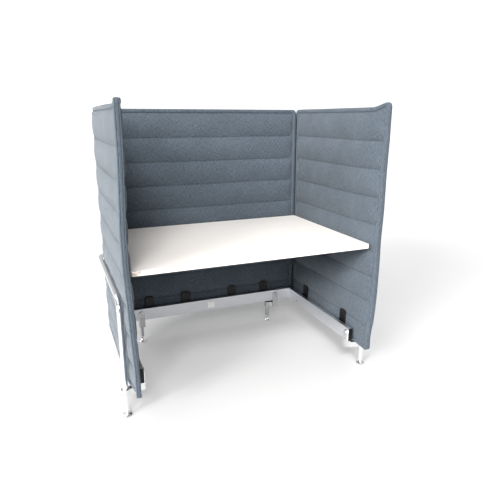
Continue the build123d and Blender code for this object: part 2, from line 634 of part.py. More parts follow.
def levelling_feet():
    """A stem with a domed plate on a glide pad, in a threaded insert with a lock nut."""
    bore = STEM_DIAMETER / 2 + 0.06
    with BuildPart() as inserts:
        for _, x, y, end, outer, inner in LEGS:
            with BuildSketch(Plane.XY.offset(end - INSERT_FLANGE)):
                with Locations((x, y)):
                    Circle(outer)
                    Circle(bore, mode=Mode.SUBTRACT)
            extrude(amount=INSERT_FLANGE)
            with BuildSketch(Plane.XY.offset(end)):
                with Locations((x, y)):
                    Circle(inner - 0.05)
                    Circle(bore, mode=Mode.SUBTRACT)
            extrude(amount=INSERT_LENGTH)
    keep(inserts, "foot_inserts")
    with BuildPart() as nuts:
        for _, x, y, end, _, _ in LEGS:
            with BuildSketch(Plane.XY.offset(end - INSERT_FLANGE - NUT_HEIGHT)):
                with Locations((x, y)):
                    RegularPolygon(NUT_FLATS / 2, 6, major_radius=False)
                    Circle(bore, mode=Mode.SUBTRACT)
            extrude(amount=NUT_HEIGHT)
    keep(nuts, "lock_nuts")
    for name, x, y, end, _, _ in LEGS:
        dome_top = end - INSERT_FLANGE - NUT_HEIGHT - 2
        with BuildPart() as foot:
            with BuildSketch(Plane((x, y, 0), x_dir=(1, 0, 0), z_dir=(0, -1, 0))):
                with BuildLine():
                    rim = Polyline(
                        (0, GLIDE_THICKNESS),
                        (FOOT_DIAMETER / 2, GLIDE_THICKNESS),
                        (FOOT_DIAMETER / 2, GLIDE_THICKNESS + FOOT_PLATE),
                    )
                    dome = TangentArc(
                        rim @ 1, (STEM_DIAMETER / 2 + 2, dome_top - 1), tangent=(-1, 0.1)
                    )
                    Polyline(
                        dome @ 1,
                        (STEM_DIAMETER / 2, dome_top),
                        (STEM_DIAMETER / 2, STEM_TOP - 1),
                        (STEM_DIAMETER / 2 - 1, STEM_TOP),
                        (0, STEM_TOP),
                        (0, GLIDE_THICKNESS),
                    )
                make_face()
            revolve(axis=Axis((x, y, 0), (0, 0, 1)))
        keep(foot, f"{name}_foot")
        with BuildPart() as glide:
            with BuildSketch(Plane.XY):
                with Locations((x, y)):
                    Circle(FOOT_DIAMETER / 2 - 2)
            extrude(amount=GLIDE_THICKNESS)
        keep(glide, f"{name}_glide")


# ---- panel clips ------------------------------------------------------------------------------
def panel_clip(name, plane, gap):
    """A moulded clip: a round-cornered plate on the panel and a block that meets the beam."""
    with BuildPart() as clip:
        with BuildSketch(plane) as outline:
            with Locations((0, (CLIP_BOTTOM + CLIP_TOP) / 2)):
                Rectangle(CLIP_WIDTH, CLIP_TOP - CLIP_BOTTOM)
            fillet(outline.vertices().sort_by(Axis.Y)[-2:], radius=CLIP_CORNER)
            with Locations((0, CLIP_SCREW_Z)):
                with GridLocations(CLIP_SCREW_SPACING, 1, 2, 1):
                    Circle(CLIP_SCREW_RADIUS + 0.1, mode=Mode.SUBTRACT)
        extrude(amount=CLIP_PLATE)
        front = clip.faces().sort_by(Axis(plane.origin, plane.z_dir))[-1]
        fillet(front.outer_wire().edges(), radius=CLIP_EDGE)
        with BuildSketch(plane):
            with Locations((0, (CLIP_BOTTOM + BEAM_TOP) / 2)):
                Rectangle(CLIP_WIDTH, BEAM_TOP - CLIP_BOTTOM)
        extrude(amount=gap)
    keep(clip, name)


def clips():
    """Four clips along the back panel and two on each side panel, with their screws."""
    planes = []
    for number, x in enumerate(REAR_CLIP_X, 1):
        planes.append(face_plane(x, BACK_INNER, (0, -1, 0)))
        panel_clip(f"back_clip_{number}", planes[-1], REAR_GAP)
    for side, sign in SIDES.items():
        for place, y in zip(("rear", "front"), SIDE_CLIP_Y):
            planes.append(face_plane(sign * SIDE_INNER, y, (-sign, 0, 0)))
            panel_clip(f"{side}_{place}_clip", planes[-1], SIDE_INNER - BEAM_HALF_SPAN)
    with BuildPart() as screws:
        for plane in planes:
            with BuildSketch(plane.offset(CLIP_PLATE)):
                with Locations((0, CLIP_SCREW_Z)):
                    with GridLocations(CLIP_SCREW_SPACING, 1, 2, 1):
                        Circle(2 * CLIP_SCREW_RADIUS)
            extrude(amount=CLIP_SCREW_RADIUS)
            with BuildSketch(plane.offset(CLIP_PLATE)):
                with Locations((0, CLIP_SCREW_Z)):
                    with GridLocations(CLIP_SCREW_SPACING, 1, 2, 1):
                        Circle(CLIP_SCREW_RADIUS)
            extrude(amount=-(CLIP_PLATE + PAD_WALL + CORE_THICKNESS))
    keep(screws, "clip_screws")


# ---- corner zips --------------------------------------------------------------------------------
def corner_zip(side, sign):
    """Tape and chain across the outer corner, the slider on it, and its hanging pull tab."""
    outward = Vector(sign, 1, 0).normalized()
    across = Vector(1, -sign, 0).normalized() * sign
    middle = Vector(sign * (SIDE_INNER + 15), BACK_INNER + 15, 0)
    section = Plane(origin=(middle.X, middle.Y, 0), x_dir=across, z_dir=(0, 0, 1))
    out = 1 if section.y_dir.dot(outward) > 0 else -1
    chain_face = TAPE_THICKNESS / 2 + CHAIN_THICKNESS
    plate_face = chain_face + 2.3
    pin_out = plate_face + 2
    with BuildPart() as tape:
        with BuildSketch(section.offset(TAPE_BOTTOM)):
            Rectangle(TAPE_WIDTH, TAPE_THICKNESS)
        extrude(amount=ZIP_TOP - TAPE_BOTTOM)
        with BuildSketch(section.offset(ZIP_BOTTOM)):
            with Locations((0, out * (chain_face - CHAIN_THICKNESS / 2))):
                Rectangle(CHAIN_WIDTH, CHAIN_THICKNESS)
        extrude(amount=ZIP_TOP - ZIP_BOTTOM)
    keep(tape, f"{side}_corner_zip")
    with BuildPart() as slider:
        base = section.offset(SLIDER_TOP - SLIDER_HEIGHT)
        with BuildSketch(base):
            with Locations((0, out * (plate_face + TAPE_THICKNESS / 2 + 0.3) / 2)):
                Rectangle(11, plate_face - TAPE_THICKNESS / 2 - 0.3)
            with Locations((0, out * (chain_face + 0.3) / 2)):
                Rectangle(CHAIN_WIDTH + 0.6, chain_face + 0.3, mode=Mode.SUBTRACT)
        extrude(amount=SLIDER_HEIGHT)
        with BuildSketch(base.offset(SLIDER_HEIGHT - 6)):
            with Locations([(x, out * (pin_out - 0.5)) for x in (-4.2, 4.2)]):
                Rectangle(1.8, 4)
        extrude(amount=5)
        with BuildSketch(Plane(
            origin=middle + outward * pin_out + Vector(0, 0, SLIDER_TOP - 3.5),
            x_dir=(0, 0, 1),
            z_dir=across,
        )):
            Circle(0.8)
        extrude(amount=4.2, both=True)
    keep(slider, f"{side}_zip_slider")
    with BuildPart() as pull:
        with BuildSketch(Plane(
            origin=middle + outward * pin_out + Vector(0, 0, SLIDER_TOP - 3.5),
            x_dir=(0, 0, 1),
            z_dir=across,
        )):
            Circle(1.7)
            with Locations((-PULL_LENGTH / 2, 0)):
                Rectangle(PULL_LENGTH, 1.6)
            Circle(0.86, mode=Mode.SUBTRACT)
        extrude(amount=2.9, both=True)
    keep(pull, f"{side}_zip_pull")


os.makedirs("parts", exist_ok=True)
for panel_side, panel_sign in SIDES.items():
    side_panel(panel_side, panel_sign)
    shelf_angle(panel_side, panel_sign)
    side_beam(panel_side, panel_sign)
    corner_zip(panel_side, panel_sign)
back_panel()
desktop()
table_fixings()
rear_beam()
beam_fixings()
blank_plate()
cast_brackets()
bow()
rear_legs()
levelling_feet()
clips()
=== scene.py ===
import json
import math

import bmesh
import bpy
import numpy as np
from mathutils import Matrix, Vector, noise


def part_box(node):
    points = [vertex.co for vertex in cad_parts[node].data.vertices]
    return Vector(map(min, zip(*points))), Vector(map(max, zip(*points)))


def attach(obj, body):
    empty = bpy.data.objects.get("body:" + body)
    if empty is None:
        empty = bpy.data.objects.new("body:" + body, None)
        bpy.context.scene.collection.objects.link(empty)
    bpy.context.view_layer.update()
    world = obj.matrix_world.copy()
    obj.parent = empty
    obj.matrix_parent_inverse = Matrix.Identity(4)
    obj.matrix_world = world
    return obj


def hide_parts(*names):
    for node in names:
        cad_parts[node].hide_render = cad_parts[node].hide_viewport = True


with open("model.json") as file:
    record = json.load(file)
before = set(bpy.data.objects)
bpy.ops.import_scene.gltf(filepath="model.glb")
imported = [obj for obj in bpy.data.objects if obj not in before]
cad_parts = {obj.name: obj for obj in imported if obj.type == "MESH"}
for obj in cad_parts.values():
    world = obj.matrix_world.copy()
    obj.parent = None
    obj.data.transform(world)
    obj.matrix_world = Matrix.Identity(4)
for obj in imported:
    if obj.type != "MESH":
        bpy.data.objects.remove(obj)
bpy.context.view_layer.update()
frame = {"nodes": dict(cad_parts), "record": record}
nodes = frame["nodes"]
scene = bpy.context.scene


# ---- camera, world and light --------------------------------------------------------------
LIGHT_DISTANCE = 4       # a distant light only uses its direction


def aim(obj, target):
    """Turns a light towards a point."""
    way = Vector(target) - obj.location
    obj.rotation_euler = way.to_track_quat("-Z", "Y").to_euler()


def soft_light(name, heading, rise, spread, strength, colour=(1, 1, 1)):
    """A wide distant light. Heading turns anticlockwise from +X, all angles in degrees."""
    data = bpy.data.lights.new(name, "SUN")
    data.angle = math.radians(spread)
    data.energy = strength
    data.color = colour
    obj = bpy.data.objects.new(name, data)
    scene.collection.objects.link(obj)
    turn, tilt = math.radians(heading), math.radians(rise)
    obj.location = (LIGHT_DISTANCE * math.cos(tilt) * math.cos(turn),
                    LIGHT_DISTANCE * math.cos(tilt) * math.sin(turn),
                    LIGHT_DISTANCE * math.sin(tilt))
    aim(obj, (0, 0, 0))


camera_data = bpy.data.cameras.new("camera")
camera_data.sensor_width = 36
camera_data.lens = 34.57
camera = bpy.data.objects.new("camera", camera_data)
scene.collection.objects.link(camera)
camera.location = (-0.882, -2.3976, 1.3541)
camera.rotation_euler = (math.radians(90 - 15.34), 0, math.radians(-22.61))
scene.camera = camera

scene.view_settings.view_transform = "Standard"
scene.view_settings.look = "Medium High Contrast"

world = bpy.data.worlds.new("studio")
world.use_nodes = True
sky = world.node_tree.nodes["Background"]
sky.inputs["Color"].default_value = (1.0, 1.0, 1.0, 1)
# the background is plain white, but lights surfaces and shows in them by only a part of that
DIMMED_BY = (("Is Diffuse Ray", 0.97), ("Is Glossy Ray", 0.45))
ray = world.node_tree.nodes.new("ShaderNodeLightPath")
level = None
for kind, amount in DIMMED_BY:
    dim = world.node_tree.nodes.new("ShaderNodeMath")
    dim.operation = "MULTIPLY_ADD"
    dim.inputs[1].default_value = -amount
    dim.inputs[2].default_value = 1.0
    world.node_tree.links.new(ray.outputs[kind], dim.inputs[0])
    if level is not None:
        world.node_tree.links.new(level.outputs[0], dim.inputs[2])
    level = dim
world.node_tree.links.new(level.outputs[0], sky.inputs["Strength"])
scene.world = world

soft_light("key", 212, 22, 20, 2.35, (1, 0.995, 0.985))
soft_light("side", 190, 9, 20, 1.3)
soft_light("half_front", 235, 35, 24, 1.0)
soft_light("front", 250, 38, 24, 2.2)
soft_light("top", 0, 89, 60, 1.1)
soft_light("rear", 120, 35, 40, 0.4)


# ---- node graphs ------------------------------------------------------------------------------
MIX_FACTOR, MIX_FIRST, MIX_SECOND, MIX_RESULT = 0, 6, 7, 2     # a colour Mix node's sockets


def shade(colour, amount):
    return tuple(c * amount for c in colour)


class Graph:
    """A material's node tree with a Principled shader, and short ways to add to it."""

    def __init__(self, name, **constants):
        self.material = bpy.data.materials.new(name)
        self.material.use_nodes = True
        self.tree = self.material.node_tree
        self.tree.nodes.clear()
        self.output = self.tree.nodes.new("ShaderNodeOutputMaterial")
        self.shader = self.tree.nodes.new("ShaderNodeBsdfPrincipled")
        self.tree.links.new(self.shader.outputs["BSDF"], self.output.inputs["Surface"])
        for socket, value in constants.items():
            self.shader.inputs[socket.replace("_", " ")].default_value = value

    def put(self, kind, inputs=None, **settings):
        """Adds a node. An input is a value, or an output socket to link from."""
        node = self.tree.nodes.new(kind)
        for key, value in settings.items():
            setattr(node, key, value)
        for key, value in (inputs or {}).items():
            if isinstance(value, bpy.types.NodeSocket):
                self.tree.links.new(value, node.inputs[key])
            else:
                node.inputs[key].default_value = value
        return node

    def maths(self, operation, a, b=0.0, clamp=False):
        return self.put("ShaderNodeMath", {0: a, 1: b}, operation=operation, use_clamp=clamp).outputs[0]

    def scaled(self, vector, scale, shift=(0, 0, 0)):
        node = self.put("ShaderNodeMapping", {"Vector": vector, "Scale": scale, "Location": shift})
        return node.outputs[0]

    def noise(self, vector, scale, detail=2.0, rough=0.5, distortion=0.0):
        node = self.put(
            "ShaderNodeTexNoise",
            {"Vector": vector, "Scale": scale, "Detail": detail, "Roughness": rough,
             "Distortion": distortion},
        )
        return node.outputs["Fac"]

    def ramp(self, value, *stops):
        """A colour ramp. Each stop is (position, colour or grey)."""
        node = self.put("ShaderNodeValToRGB", {"Fac": value})
        band = node.color_ramp
        while len(band.elements) < len(stops):
            band.elements.new(0.5)
        for element, (place, colour) in zip(band.elements, stops):
            element.position = place
            grey = isinstance(colour, (int, float))
            element.color = (colour, colour, colour, 1) if grey else (*colour, 1)
        return node.outputs["Color"]

    def mix(self, factor, a, b, blend="MIX"):
        """Mixes colours. A colour is an output socket, or red, green and blue."""
        node = self.put("ShaderNodeMix", data_type="RGBA", blend_type=blend)
        for key, value in ((MIX_FACTOR, factor), (MIX_FIRST, a), (MIX_SECOND, b)):
            if isinstance(value, bpy.types.NodeSocket):
                self.tree.links.new(value, node.inputs[key])
            elif key == MIX_FACTOR:
                node.inputs[key].default_value = value
            else:
                node.inputs[key].default_value = (*value, 1)
        return node.outputs[MIX_RESULT]

    def stretch(self, value, bottom, top, low, high):
        """Maps the range from bottom to top to the range from low to high."""
        return self.put("ShaderNodeMapRange", {
            "Value": value, "From Min": bottom, "From Max": top, "To Min": low,
            "To Max": high}).outputs[0]

    def set(self, socket, value):
        self.tree.links.new(value, self.shader.inputs[socket])

    def bump(self, height, distance, strength=1.0, under=None):
        inputs = {"Height": height, "Distance": distance, "Strength": strength}
        if under is not None:
            inputs["Normal"] = under
        return self.put("ShaderNodeBump", inputs).outputs[0]

    def place(self):
        return self.put("ShaderNodeTexCoord").outputs["Object"]

    def weave_uv(self):
        return self.put("ShaderNodeUVMap", uv_map="weave").outputs["UV"]


def cloth_material(name, dark, middle, light, pitch=0.0021, depth=0.0005):
    """A plain weave of mixed yarns, in metres across the piece's own weave map, with painted shade
    darkening the seams.
    """
    g = Graph(name, Roughness=0.92, Sheen_Weight=0.32, Sheen_Roughness=0.36)
    g.shader.inputs["Specular IOR Level"].default_value = 0.22
    uv = g.weave_uv()
    turn = 2 * math.pi / pitch
    parts = g.put("ShaderNodeSeparateXYZ", {0: uv})
    wobble = g.noise(uv, 90, 2)
    shift = g.maths("MULTIPLY", g.maths("SUBTRACT", wobble, 0.5), 5.0)
    across = g.maths("SINE", g.maths("ADD", g.maths("MULTIPLY", parts.outputs[0], turn), shift))
    along = g.maths("SINE", g.maths("ADD", g.maths("MULTIPLY", parts.outputs[1], turn), shift))
    basket = g.maths("MULTIPLY", across, along)
    fibre_warp = g.noise(g.scaled(uv, (2600, 500, 1)), 1.0, 3, 0.6)
    fibre_weft = g.noise(g.scaled(uv, (500, 2600, 1), (7, 3, 0)), 1.0, 3, 0.6)
    over = g.maths("MULTIPLY_ADD", basket, 0.5)
    over.node.inputs[2].default_value = 0.5
    fibre = g.put("ShaderNodeMix", {0: over, 2: fibre_warp, 3: fibre_weft}, data_type="FLOAT")
    yarn = g.ramp(fibre.outputs[0], (0.30, dark), (0.50, middle), (0.72, light))
    slub_warp = g.noise(g.scaled(uv, (430, 62, 1)), 1.0, 3, 0.6)
    slub_weft = g.noise(g.scaled(uv, (62, 430, 1), (3, 9, 0)), 1.0, 3, 0.6)
    for slub in (slub_warp, slub_weft):
        speck = g.ramp(slub, (0.34, 0.72), (0.50, 0.99), (0.68, 1.30))
        yarn = g.mix(1.0, yarn, speck, "MULTIPLY")
    cloud = g.noise(uv, 7, 3, 0.55)
    colour = g.mix(1.0, yarn, g.ramp(cloud, (0.3, 0.93), (0.7, 1.06)), "MULTIPLY")
    # painted shade: the colour darkens towards the dark yarn along the seams and the welt's inner row,
    # where the quilting lies in shade
    seam_shade_mask = g.put("ShaderNodeAttribute", attribute_name="painted_seam_shade").outputs["Fac"]
    colour = g.mix(g.maths("MULTIPLY", seam_shade_mask, 0.24), colour, shade(dark, 0.30))
    g.set("Base Color", colour)
    coarse = g.bump(g.noise(uv, 55, 3, 0.6), 0.0016, 0.35)
    g.set("Normal", g.bump(g.maths("ADD", over, fibre.outputs[0]), depth, 0.8, coarse))
    return g.material


def tape_material(name, colour, pitch=0.0012):
    """Narrow woven tape or thread, patterned by place."""
    g = Graph(name, Roughness=0.8, Sheen_Weight=0.15)
    at = g.place()
    rib = g.noise(g.scaled(at, (900, 900, 1 / pitch)), 1.0, 2)
    g.set("Base Color", g.mix(rib, shade(colour, 0.6), shade(colour, 1.4)))
    g.set("Normal", g.bump(rib, 0.0003, 0.7))
    return g.material


def laminate_material(name, colour, stain):
    """Satin laminate: faint orange peel, uneven sheen, rubbed places and a brown stain.

    Stain is a list of spots, each a place on the object and how far the spot reaches.
    """
    g = Graph(name, Roughness=0.4)
    at = g.place()
    cloud = g.noise(at, 3.2, 4, 0.6)
    base = g.mix(cloud, shade(colour, 0.97), colour)
    smudge = g.noise(g.scaled(at, (6, 11, 8)), 1.0, 5, 0.62, 0.6)
    base = g.mix(g.ramp(smudge, (0.62, 0.0), (0.80, 0.10)), base, shade(colour, 0.86))
    for *spot, reach in stain:
        near = g.put("ShaderNodeVectorMath", {0: at, 1: spot}, operation="DISTANCE")
        ragged = g.maths("MULTIPLY", g.noise(at, 160, 3, 0.6), 0.9)
        rim = g.maths("DIVIDE", near.outputs["Value"], reach)
        mark = g.maths("SUBTRACT", 1.25, g.maths("ADD", rim, ragged), clamp=True)
        base = g.mix(g.maths("MULTIPLY", mark, 0.95), base, STAIN_BROWN)
    g.set("Base Color", base)
    g.set("Roughness", g.stretch(smudge, 0.3, 0.8, 0.30, 0.48))
    g.set("Normal", g.bump(g.noise(at, 1400, 2), 0.00006, 0.5))
    return g.material


def metal_material(name, colour, rough, grain=(1, 1, 1), depth=0.00003, wear=0.06):
    """Metal with a drawn or polished grain, faint handling marks and uneven roughness."""
    g = Graph(name, Metallic=1.0)
    at = g.place()
    drawn = g.noise(g.scaled(at, tuple(900 * s for s in grain)), 1.0, 3, 0.7)
    marks = g.noise(g.scaled(at, (40, 40, 40)), 1.0, 5, 0.65, 0.4)
    tone = g.mix(drawn, shade(colour, 0.93), colour)
    g.set("Base Color", g.mix(g.ramp(marks, (0.55, 0.0), (0.75, 0.5)), tone, shade(colour, 0.84)))
    both = g.maths("MULTIPLY", g.maths("ADD", drawn, marks), 0.5)
    g.set("Roughness", g.stretch(both, 0.3, 0.7, rough - wear / 2, rough + wear))
    g.set("Normal", g.bump(drawn, depth, 0.6))
    return g.material


def plastic_material(name, colour, rough=0.5, texture=700):
    """Moulded plastic: fine spark texture, scuffs and dust in it."""
    g = Graph(name)
    at = g.place()
    spark = g.noise(at, texture, 2)
    scuff = g.noise(g.scaled(at, (60, 60, 25)), 1.0, 5, 0.7, 0.8)
    worn = tuple(min(1.0, c * 1.5 + 0.003) for c in colour)
    g.set("Base Color", g.mix(g.ramp(scuff, (0.52, 0.0), (0.78, 0.8)), colour, worn))
    g.set("Roughness", g.stretch(scuff, 0.3, 0.7, rough - 0.06, rough + 0.12))
    g.set("Normal", g.bump(spark, 0.00012, 0.5))
    return g.material


def floor_material():
    g = Graph("floor", Roughness=0.6)
    g.set("Base Color", g.mix(g.noise(g.place(), 1.5, 2), (0.65, 0.65, 0.655), (0.67, 0.67, 0.67)))
    return g.material


STAIN_BROWN = (0.30, 0.17, 0.10)
fabric = cloth_material("quilted_fabric", (0.046, 0.058, 0.072), (0.097, 0.118, 0.141),
                        (0.180, 0.210, 0.242))
thread = tape_material("thread", (0.16, 0.21, 0.27), 0.0007)
laminate = laminate_material("laminate", (0.83, 0.79, 0.755), [(-0.588, -0.427, 0.730, 0.018)])
edge_strip = laminate_material("edge_strip", (0.83, 0.79, 0.75), [
    (-0.590, -0.431, 0.716, 0.024), (-0.570, -0.431, 0.724, 0.012)])
# painted shade: a darker copy of the satin aluminium for the rear beam, which lies under the desktop and
# reflects its dark
aluminium_painted_shade = metal_material("satin_aluminium_x_painted_shade", (0.56, 0.57, 0.59), 0.36, (0.012, 1, 1))
side_aluminium = metal_material("satin_aluminium_y", (0.86, 0.87, 0.90), 0.34, (1, 0.012, 1))
plug_metal = metal_material("cast_plug", (0.55, 0.56, 0.57), 0.5)
polished = metal_material("polished_casting", (0.82, 0.825, 0.83), 0.20, (0.6, 0.6, 0.6), 0.00004)
# painted shade: a darker copy of the polished casting for the rear legs and brackets under the desktop
polished_painted_shade = metal_material("polished_in_shade", (0.50, 0.505, 0.515), 0.20, (0.6, 0.6, 0.6),
                               0.00004)
chrome = metal_material("polished_tube", (0.90, 0.905, 0.91), 0.09, (0.3, 0.3, 0.3), 0.000008, 0.03)
plated = metal_material("plated_foot", (0.80, 0.80, 0.81), 0.14, (0.4, 0.4, 0.4), 0.00001, 0.04)
zinc = metal_material("zinc_screw", (0.50, 0.50, 0.50), 0.32, (0.5, 0.5, 0.5))
black_screw = metal_material("black_screw", (0.075, 0.076, 0.080), 0.38, (0.5, 0.5, 0.5))
dark_metal = metal_material("dark_zip_metal", (0.16, 0.165, 0.175), 0.30, (0.5, 0.5, 0.5))
dark_coat = plastic_material("dark_powder_coat", (0.035, 0.036, 0.040), 0.5, 1200)
black = plastic_material("black_moulding", (0.005, 0.005, 0.006), 0.48)
grey_plastic = plastic_material("grey_insert", (0.50, 0.50, 0.50), 0.5)
plate_white = plastic_material("white_plate", (0.80, 0.80, 0.79), 0.35)
core_board = plastic_material("core_board", (0.42, 0.31, 0.20), 0.8)
zip_tape = tape_material("zip_tape", (0.085, 0.108, 0.130))

FINISHES = {
    "fabric": fabric, "core_board": core_board, "tabletop_laminate": laminate,
    "edging": edge_strip, "aluminium": side_aluminium, "plug_metal": plug_metal,
    "black_plastic": black, "cast_metal": polished, "screw_steel": zinc, "tube_metal": chrome,
    "inner_steel": zinc, "insert_plastic": grey_plastic, "foot_metal": plated,
    "glide_plastic": black, "bracket_steel": dark_coat, "zip_tape": zip_tape,
    "zip_metal": dark_metal,
}
slot_of = {part["node"]: part["material_slot"] for part in frame["record"]["subparts"]}


def dress(obj, material):
    obj.data.materials.clear()
    obj.data.materials.append(material)


for name, node in nodes.items():
    dress(node, FINISHES[slot_of[name]])
# the rear beam gets the darker copy of the aluminium: painted shade
dress(nodes["rear_beam"], aluminium_painted_shade)
dress(nodes["blank_plate"], plate_white)
# the rear legs and brackets get the darker copy of the polished metal: painted shade
for name in ("rear_left_leg", "rear_right_leg", "rear_left_bracket", "rear_right_bracket"):
    dress(nodes[name], polished_painted_shade)


def piece(name, verts, faces, material, body, slot, replaces=(), smooth=True):
    """A new mesh piece that rides on a body."""
    mesh = bpy.data.meshes.new(name)
    mesh.from_pydata([tuple(v) for v in verts], [], [tuple(f) for f in faces])
    mesh.update()
    obj = bpy.data.objects.new(name, mesh)
    scene.collection.objects.link(obj)
    mesh.materials.append(material)
    mesh.polygons.foreach_set("use_smooth", [smooth] * len(mesh.polygons))
    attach(obj, body)
    if replaces:
        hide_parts(*replaces)
    return obj


def tube_faces(base, sides, rings):
    """Faces of a closed tube of rings of points, with a cap at each end."""
    faces = []
    for ring in range(rings - 1):
        for k in range(sides):
            n = (k + 1) % sides
            first = base + ring * sides
            faces.append((first + k, first + n, first + sides + n, first + sides + k))
    faces.append(tuple(base + k for k in range(sides - 1, -1, -1)))
    faces.append(tuple(base + (rings - 1) * sides + k for k in range(sides)))
    return faces


# ---- quilted panels -------------------------------------------------------------------------
# metres. Channels are the heights above the floor of the seams between them
FLANGE = 0.0225          # from the outline to the seam inside it
CHANNELS = [0.277, 0.4155, 0.554, 0.6925, 0.831, 0.9695, 1.108, 1.2465]
CHANNEL_HEIGHT = 0.1385
CREST, DIP, SEAM_HALF = 0.0222, 0.0107, 0.0104       # half thicknesses
STITCH_WIDTH, STITCH_DEPTH, STITCH_FADE = 0.0032, 0.0019, 0.012
SEAM_BLEND, PAINTED_SHADE_WIDTH = 0.0070, 0.0022            # by the seam inside the flange: how far the padding blends in, and how wide the painted shade there is
SEAM_SAG, SEAM_WAVE, WAVE_FADE = 0.0035, 0.0030, 0.05
UNDER_FLANGE = 0.004     # the top and bottom channels start this far under the flange
# a tucked end's own profile blends into the top's and bottom's, and into the padding, over these
MITRE, SNUG_BLEND = 0.02, 0.010
STEP_ALONG, STEP_UP, LEAST_STEP = 0.0125, 0.0105, 0.0006
PAST_RIM = [0.0238, 0.0258, 0.0290, 0.0340]          # extra grid lines inside the flange
BY_SEAM = [0, 0.0012, 0.0032, 0.0066, 0.012, 0.020]  # and on both sides of each seam
# a channel's shape: the first power moves its crest up a little, the others flatten its top and
# round its ends. A low channel keeps at least this share of the crest, and filling is uneven
CREST_SHIFT, LOBE_POWER, END_POWER, LEAST_CREST, UNEVEN = 1.10, 2.9, 2.4, 0.6, 0.10
BLOW_FRAMES, CALM_PASSES = 20, 8
# the most that blowing out may move the cloth: sideways, inwards, and out past the crest
SLIDE, SINK, OVER_CREST = 0.004, 0.003, 0.0012
OTHER_FACE, EDGE_STRIP = 2.3, 5                      # shifts in the weave map
SHARE = 0.60                  # how full the channels are before the cloth

# millimetres: places in from the outline, and the half thickness at each for each kind of rim
RIM = [0, 0.8, 2.6, 5.5, 9.5, 13.5, 17.0, 19.6, 21.4, 22.5]
RIM_HALF = [9.6, 11.0, 12.9, 14.3, 15.0, 14.8, 13.7, 12.2, 10.9, 10.3]
FULL_RIM = [12.4, 13.7, 14.8, 15.5, 15.9, 16.0, 15.9, 15.7, 15.4, 15.2]
WELT_RIM = [12.6, 13.9, 15.0, 15.7, 15.9, 15.6, 14.8, 13.8, 13.0, 12.7]
TUCK_RIM = [7.8, 8.7, 9.8, 10.6, 11.0, 11.2, 11.2, 11.0, 10.8, 10.6]
# millimetres: how far in, and how far from the middle plane, across the outer edge
EDGE_FACE = [(0.9, 8.4), (2.7, 7.1), (0.8, 5.9), (0.0, 3.2), (-0.2, 0)]


def ease(t):
    t = np.clip(t, 0, 1)
    return t * t * (3 - 2 * t)


def lines(length, marks, step):
    """Grid lines from 0 to length, fine at both rims and by each mark."""
    rim = [r / 1000 for r in RIM] + PAST_RIM
    fixed = set(rim) | {length - r for r in rim}
    for m in marks:
        for d in BY_SEAM:
            fixed |= {m - d, m + d}
    fixed = sorted(v for v in fixed if -1e-9 <= v <= length + 1e-9)
    out = [fixed[0]]
    for a, b in zip(fixed, fixed[1:]):
        if b - a < LEAST_STEP:
            continue
        count = max(1, round((b - a) / step))
        out += [a + (b - a) * k / count for k in range(1, count + 1)]
    return np.array(out)


def wander(values, scale, seed, amount):
    return np.array([amount * noise.noise(Vector((v * scale, seed, 0.37 * seed))) for v in values])


def field(a, b, scale, seed):
    """Smooth noise over a grid, from about -1 to 1."""
    flat = [noise.noise(Vector((x * scale, y * scale, seed))) for x, y in zip(a.ravel(), b.ravel())]
    return np.array(flat).reshape(a.shape)


